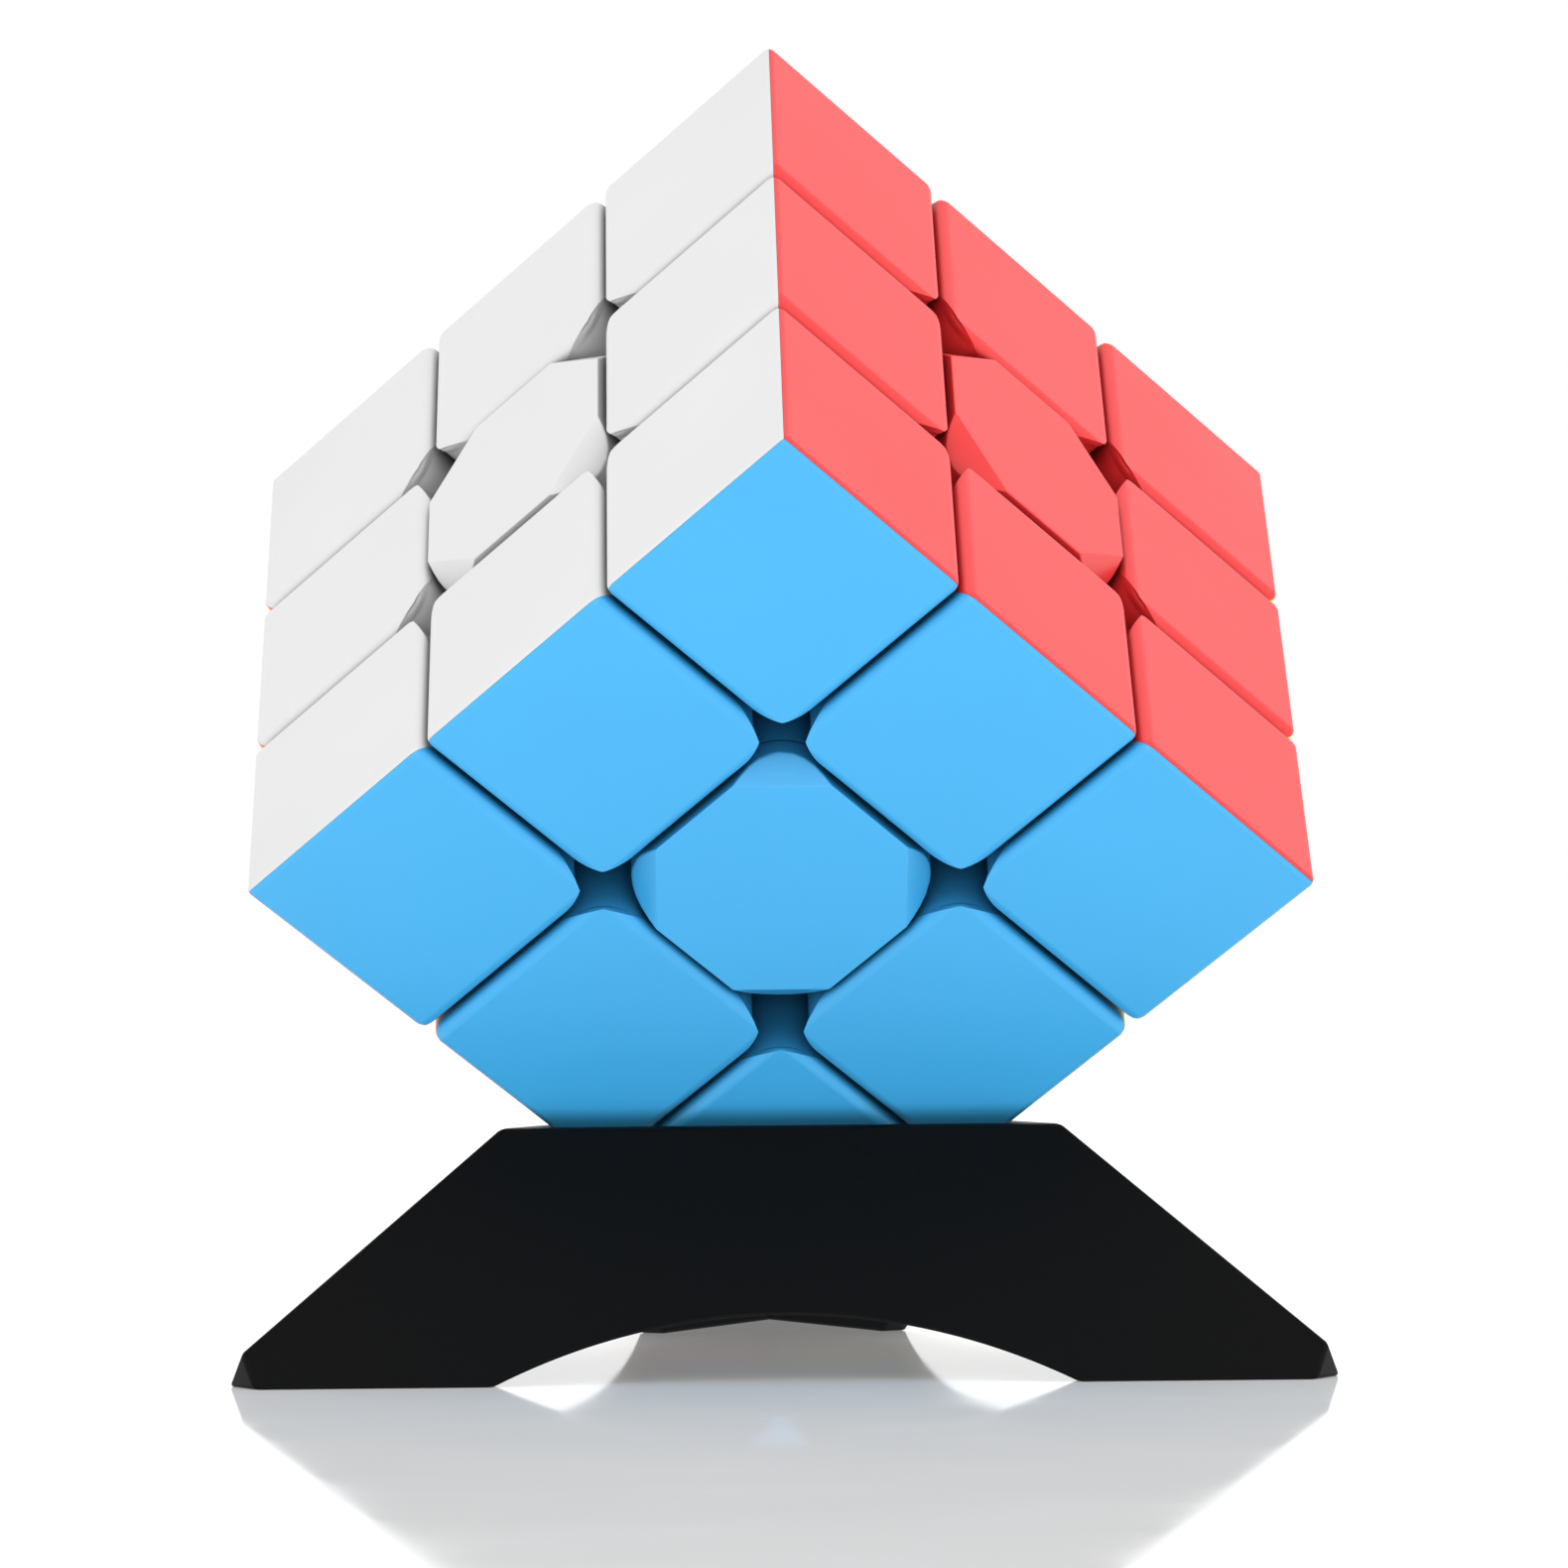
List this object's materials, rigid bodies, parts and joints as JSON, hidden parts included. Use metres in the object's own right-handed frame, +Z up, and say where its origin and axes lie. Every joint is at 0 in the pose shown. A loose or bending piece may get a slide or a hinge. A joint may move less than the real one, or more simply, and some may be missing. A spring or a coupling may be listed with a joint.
{
  "type": "twisty puzzle cube",
  "caption": "Stickerless twisty puzzle cube standing on one corner, with turning faces, a sprung core, and separate centres, edges and corners.",
  "frame": {"origin": "the cube's lowest corner, where the three lower faces meet, directly below the cube's centre", "axes": "+Z up along the cube's body diagonal; the blue face leans towards -Y, the red face towards +X and the white face towards -X"},
  "size_m": [0.0792, 0.0914, 0.097],
  "materials": {
    "red_plastic": "glossy moulded plastic with a fine satin grain",
    "orange_plastic": "glossy moulded plastic with a fine satin grain",
    "white_plastic": "glossy moulded plastic with a fine satin grain",
    "yellow_plastic": "glossy moulded plastic with a fine satin grain",
    "blue_plastic": "glossy moulded plastic with a fine satin grain",
    "green_plastic": "glossy moulded plastic with a fine satin grain",
    "inner_plastic": "satin moulded plastic of the feet, shells and bases",
    "core_plastic": "satin moulded plastic",
    "screw_steel": "zinc-plated steel",
    "spring_steel": "drawn spring wire"
  },
  "bodies": {
    "core": {"core": "core_plastic", "tension_screw_red": "screw_steel", "tension_screw_orange": "screw_steel", "tension_screw_white": "screw_steel", "tension_screw_yellow": "screw_steel", "tension_screw_blue": "screw_steel", "tension_screw_green": "screw_steel", "tension_spring_red": "spring_steel", "tension_spring_orange": "spring_steel", "tension_spring_white": "spring_steel", "tension_spring_yellow": "spring_steel", "tension_spring_blue": "spring_steel", "tension_spring_green": "spring_steel"},
    "centre_red": {"centre_base_red": "red_plastic", "centre_cap_red": "red_plastic"},
    "centre_orange": {"centre_base_orange": "orange_plastic", "centre_cap_orange": "orange_plastic"},
    "centre_white": {"centre_base_white": "white_plastic", "centre_cap_white": "white_plastic"},
    "centre_yellow": {"centre_base_yellow": "yellow_plastic", "centre_cap_yellow": "yellow_plastic"},
    "centre_blue": {"centre_base_blue": "blue_plastic", "centre_cap_blue": "blue_plastic"},
    "centre_green": {"centre_base_green": "green_plastic", "centre_cap_green": "green_plastic"},
    "edge_white_blue": {"edge_white_blue_shell": "inner_plastic", "edge_white_blue_foot": "inner_plastic"},
    "edge_white_green": {"edge_white_green_shell": "inner_plastic", "edge_white_green_foot": "inner_plastic"},
    "edge_yellow_blue": {"edge_yellow_blue_shell": "inner_plastic", "edge_yellow_blue_foot": "inner_plastic"},
    "edge_yellow_green": {"edge_yellow_green_shell": "inner_plastic", "edge_yellow_green_foot": "inner_plastic"},
    "edge_blue_red": {"edge_blue_red_shell": "inner_plastic", "edge_blue_red_foot": "inner_plastic"},
    "edge_blue_orange": {"edge_blue_orange_shell": "inner_plastic", "edge_blue_orange_foot": "inner_plastic"},
    "edge_green_red": {"edge_green_red_shell": "inner_plastic", "edge_green_red_foot": "inner_plastic"},
    "edge_green_orange": {"edge_green_orange_shell": "inner_plastic", "edge_green_orange_foot": "inner_plastic"},
    "edge_red_white": {"edge_red_white_shell": "inner_plastic", "edge_red_white_foot": "inner_plastic"},
    "edge_red_yellow": {"edge_red_yellow_shell": "inner_plastic", "edge_red_yellow_foot": "inner_plastic"},
    "edge_orange_white": {"edge_orange_white_shell": "inner_plastic", "edge_orange_white_foot": "inner_plastic"},
    "edge_orange_yellow": {"edge_orange_yellow_shell": "inner_plastic", "edge_orange_yellow_foot": "inner_plastic"},
    "corner_red_white_blue": {"corner_red_white_blue": "inner_plastic"},
    "corner_red_white_green": {"corner_red_white_green": "inner_plastic"},
    "corner_red_yellow_blue": {"corner_red_yellow_blue": "inner_plastic"},
    "corner_red_yellow_green": {"corner_red_yellow_green": "inner_plastic"},
    "corner_orange_white_blue": {"corner_orange_white_blue": "inner_plastic"},
    "corner_orange_white_green": {"corner_orange_white_green": "inner_plastic"},
    "corner_orange_yellow_blue": {"corner_orange_yellow_blue": "inner_plastic"},
    "corner_orange_yellow_green": {"corner_orange_yellow_green": "inner_plastic"}
  },
  "joints": [
    {"name": "red_face_turn", "type": "hinge", "parent": "core", "child": "centre_red", "pos_m": [0, 0, 0.0485], "axis": [0.7071, -0.4082, 0.5774], "continuous": true},
    {"name": "orange_face_turn", "type": "hinge", "parent": "core", "child": "centre_orange", "pos_m": [0, 0, 0.0485], "axis": [0.7071, -0.4082, 0.5774], "continuous": true},
    {"name": "white_face_turn", "type": "hinge", "parent": "core", "child": "centre_white", "pos_m": [0, 0, 0.0485], "axis": [-0.7071, -0.4082, 0.5774], "continuous": true},
    {"name": "yellow_face_turn", "type": "hinge", "parent": "core", "child": "centre_yellow", "pos_m": [0, 0, 0.0485], "axis": [-0.7071, -0.4082, 0.5774], "continuous": true},
    {"name": "blue_face_turn", "type": "hinge", "parent": "core", "child": "centre_blue", "pos_m": [0, 0, 0.0485], "axis": [0, -0.8165, -0.5774], "continuous": true},
    {"name": "green_face_turn", "type": "hinge", "parent": "core", "child": "centre_green", "pos_m": [0, 0, 0.0485], "axis": [0, -0.8165, -0.5774], "continuous": true},
    {"name": "edge_white_blue_turn_with_blue", "type": "hinge", "parent": "centre_white", "child": "edge_white_blue", "pos_m": [0, 0, 0.0485], "axis": [0, -0.8165, -0.5774], "continuous": true},
    {"name": "edge_white_green_turn_with_green", "type": "hinge", "parent": "centre_white", "child": "edge_white_green", "pos_m": [0, 0, 0.0485], "axis": [0, -0.8165, -0.5774], "continuous": true},
    {"name": "edge_yellow_blue_turn_with_blue", "type": "hinge", "parent": "centre_yellow", "child": "edge_yellow_blue", "pos_m": [0, 0, 0.0485], "axis": [0, -0.8165, -0.5774], "continuous": true},
    {"name": "edge_yellow_green_turn_with_green", "type": "hinge", "parent": "centre_yellow", "child": "edge_yellow_green", "pos_m": [0, 0, 0.0485], "axis": [0, -0.8165, -0.5774], "continuous": true},
    {"name": "edge_blue_red_turn_with_red", "type": "hinge", "parent": "centre_blue", "child": "edge_blue_red", "pos_m": [0, 0, 0.0485], "axis": [0.7071, -0.4082, 0.5774], "continuous": true},
    {"name": "edge_blue_orange_turn_with_orange", "type": "hinge", "parent": "centre_blue", "child": "edge_blue_orange", "pos_m": [0, 0, 0.0485], "axis": [0.7071, -0.4082, 0.5774], "continuous": true},
    {"name": "edge_green_red_turn_with_red", "type": "hinge", "parent": "centre_green", "child": "edge_green_red", "pos_m": [0, 0, 0.0485], "axis": [0.7071, -0.4082, 0.5774], "continuous": true},
    {"name": "edge_green_orange_turn_with_orange", "type": "hinge", "parent": "centre_green", "child": "edge_green_orange", "pos_m": [0, 0, 0.0485], "axis": [0.7071, -0.4082, 0.5774], "continuous": true},
    {"name": "edge_red_white_turn_with_white", "type": "hinge", "parent": "centre_red", "child": "edge_red_white", "pos_m": [0, 0, 0.0485], "axis": [-0.7071, -0.4082, 0.5774], "continuous": true},
    {"name": "edge_red_yellow_turn_with_yellow", "type": "hinge", "parent": "centre_red", "child": "edge_red_yellow", "pos_m": [0, 0, 0.0485], "axis": [-0.7071, -0.4082, 0.5774], "continuous": true},
    {"name": "edge_orange_white_turn_with_white", "type": "hinge", "parent": "centre_orange", "child": "edge_orange_white", "pos_m": [0, 0, 0.0485], "axis": [-0.7071, -0.4082, 0.5774], "continuous": true},
    {"name": "edge_orange_yellow_turn_with_yellow", "type": "hinge", "parent": "centre_orange", "child": "edge_orange_yellow", "pos_m": [0, 0, 0.0485], "axis": [-0.7071, -0.4082, 0.5774], "continuous": true},
    {"name": "corner_red_white_blue_turn_with_red", "type": "hinge", "parent": "edge_white_blue", "child": "corner_red_white_blue", "pos_m": [0, 0, 0.0485], "axis": [0.7071, -0.4082, 0.5774], "continuous": true},
    {"name": "corner_red_white_green_turn_with_red", "type": "hinge", "parent": "edge_white_green", "child": "corner_red_white_green", "pos_m": [0, 0, 0.0485], "axis": [0.7071, -0.4082, 0.5774], "continuous": true},
    {"name": "corner_red_yellow_blue_turn_with_red", "type": "hinge", "parent": "edge_yellow_blue", "child": "corner_red_yellow_blue", "pos_m": [0, 0, 0.0485], "axis": [0.7071, -0.4082, 0.5774], "continuous": true},
    {"name": "corner_red_yellow_green_turn_with_red", "type": "hinge", "parent": "edge_yellow_green", "child": "corner_red_yellow_green", "pos_m": [0, 0, 0.0485], "axis": [0.7071, -0.4082, 0.5774], "continuous": true},
    {"name": "corner_orange_white_blue_turn_with_orange", "type": "hinge", "parent": "edge_white_blue", "child": "corner_orange_white_blue", "pos_m": [0, 0, 0.0485], "axis": [0.7071, -0.4082, 0.5774], "continuous": true},
    {"name": "corner_orange_white_green_turn_with_orange", "type": "hinge", "parent": "edge_white_green", "child": "corner_orange_white_green", "pos_m": [0, 0, 0.0485], "axis": [0.7071, -0.4082, 0.5774], "continuous": true},
    {"name": "corner_orange_yellow_blue_turn_with_orange", "type": "hinge", "parent": "edge_yellow_blue", "child": "corner_orange_yellow_blue", "pos_m": [0, 0, 0.0485], "axis": [0.7071, -0.4082, 0.5774], "continuous": true},
    {"name": "corner_orange_yellow_green_turn_with_orange", "type": "hinge", "parent": "edge_yellow_green", "child": "corner_orange_yellow_green", "pos_m": [0, 0, 0.0485], "axis": [0.7071, -0.4082, 0.5774], "continuous": true}
  ],
  "couplings": [
    {"joint": "edge_white_blue_turn_with_blue", "follows": "blue_face_turn", "ratio": 1},
    {"joint": "edge_white_green_turn_with_green", "follows": "green_face_turn", "ratio": 1},
    {"joint": "edge_yellow_blue_turn_with_blue", "follows": "blue_face_turn", "ratio": 1},
    {"joint": "edge_yellow_green_turn_with_green", "follows": "green_face_turn", "ratio": 1},
    {"joint": "edge_blue_red_turn_with_red", "follows": "red_face_turn", "ratio": 1},
    {"joint": "edge_blue_orange_turn_with_orange", "follows": "orange_face_turn", "ratio": 1},
    {"joint": "edge_green_red_turn_with_red", "follows": "red_face_turn", "ratio": 1},
    {"joint": "edge_green_orange_turn_with_orange", "follows": "orange_face_turn", "ratio": 1},
    {"joint": "edge_red_white_turn_with_white", "follows": "white_face_turn", "ratio": 1},
    {"joint": "edge_red_yellow_turn_with_yellow", "follows": "yellow_face_turn", "ratio": 1},
    {"joint": "edge_orange_white_turn_with_white", "follows": "white_face_turn", "ratio": 1},
    {"joint": "edge_orange_yellow_turn_with_yellow", "follows": "yellow_face_turn", "ratio": 1},
    {"joint": "corner_red_white_blue_turn_with_red", "follows": "red_face_turn", "ratio": 1},
    {"joint": "corner_red_white_green_turn_with_red", "follows": "red_face_turn", "ratio": 1},
    {"joint": "corner_red_yellow_blue_turn_with_red", "follows": "red_face_turn", "ratio": 1},
    {"joint": "corner_red_yellow_green_turn_with_red", "follows": "red_face_turn", "ratio": 1},
    {"joint": "corner_orange_white_blue_turn_with_orange", "follows": "orange_face_turn", "ratio": 1},
    {"joint": "corner_orange_white_green_turn_with_orange", "follows": "orange_face_turn", "ratio": 1},
    {"joint": "corner_orange_yellow_blue_turn_with_orange", "follows": "orange_face_turn", "ratio": 1},
    {"joint": "corner_orange_yellow_green_turn_with_orange", "follows": "orange_face_turn", "ratio": 1}
  ]
}
